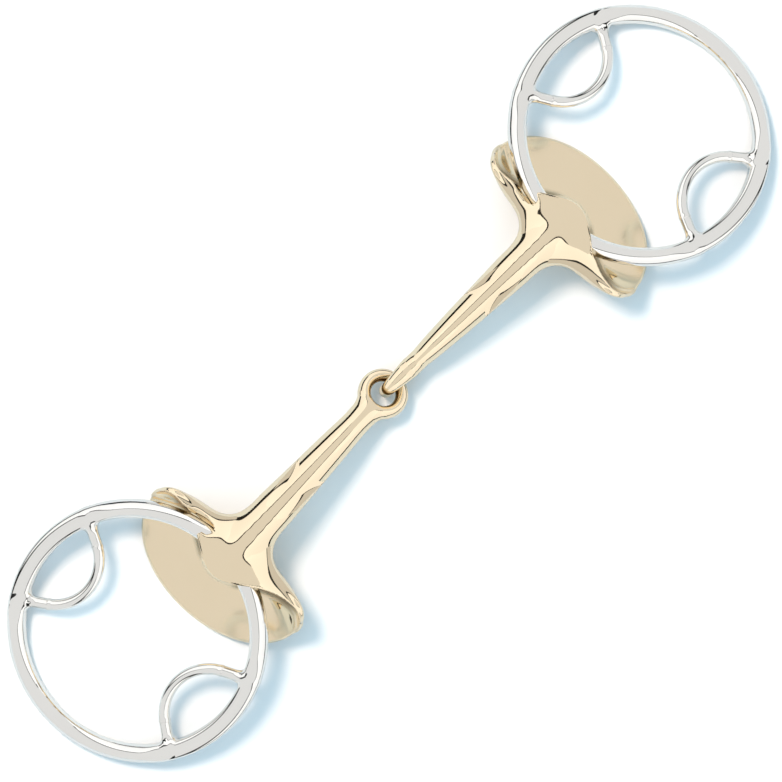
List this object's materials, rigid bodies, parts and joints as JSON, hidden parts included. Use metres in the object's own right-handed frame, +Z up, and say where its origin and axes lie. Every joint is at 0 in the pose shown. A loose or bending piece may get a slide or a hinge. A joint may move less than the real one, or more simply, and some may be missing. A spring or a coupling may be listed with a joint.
{
  "type": "snaffle bit",
  "caption": "Single-jointed loose-ring snaffle bit with half-moon cheek plates, and two wire loops inside each ring for the cheekpiece and the rein.",
  "frame": {"origin": "bottom centre of the bounding box, on the surface that the bit lies on", "axes": "+X from the left ring to the right ring, +Z up from the table"},
  "size_m": [0.2868, 0.082, 0.0278],
  "materials": {
    "pale_gold": "polished",
    "polished_steel": "polished"
  },
  "bodies": {
    "left_mouth": {"left_mouthpiece": "pale_gold"},
    "right_mouth": {"right_mouthpiece": "pale_gold"},
    "left_ring": {"left_ring_hoop": "polished_steel", "left_cheek_loop": "polished_steel", "left_rein_loop": "polished_steel"},
    "right_ring": {"right_ring_hoop": "polished_steel", "right_cheek_loop": "polished_steel", "right_rein_loop": "polished_steel"}
  },
  "joints": [
    {"name": "centre_fold", "type": "hinge", "parent": "left_mouth", "child": "right_mouth", "pos_m": [0.00204, -0.00093, 0.00686], "axis": [0.0297, -0.9996, 0], "range_deg": [-150, 95]},
    {"name": "left_ring_swing", "type": "hinge", "parent": "left_mouth", "child": "left_ring", "pos_m": [-0.06908, -0.00304, 0.022], "axis": [0.1132, 0.9936, 0], "range_deg": [-8, 60]},
    {"name": "right_ring_swing", "type": "hinge", "parent": "right_mouth", "child": "right_ring", "pos_m": [0.06892, -0.00304, 0.022], "axis": [0.0558, -0.9984, 0], "range_deg": [-8, 60]}
  ]
}
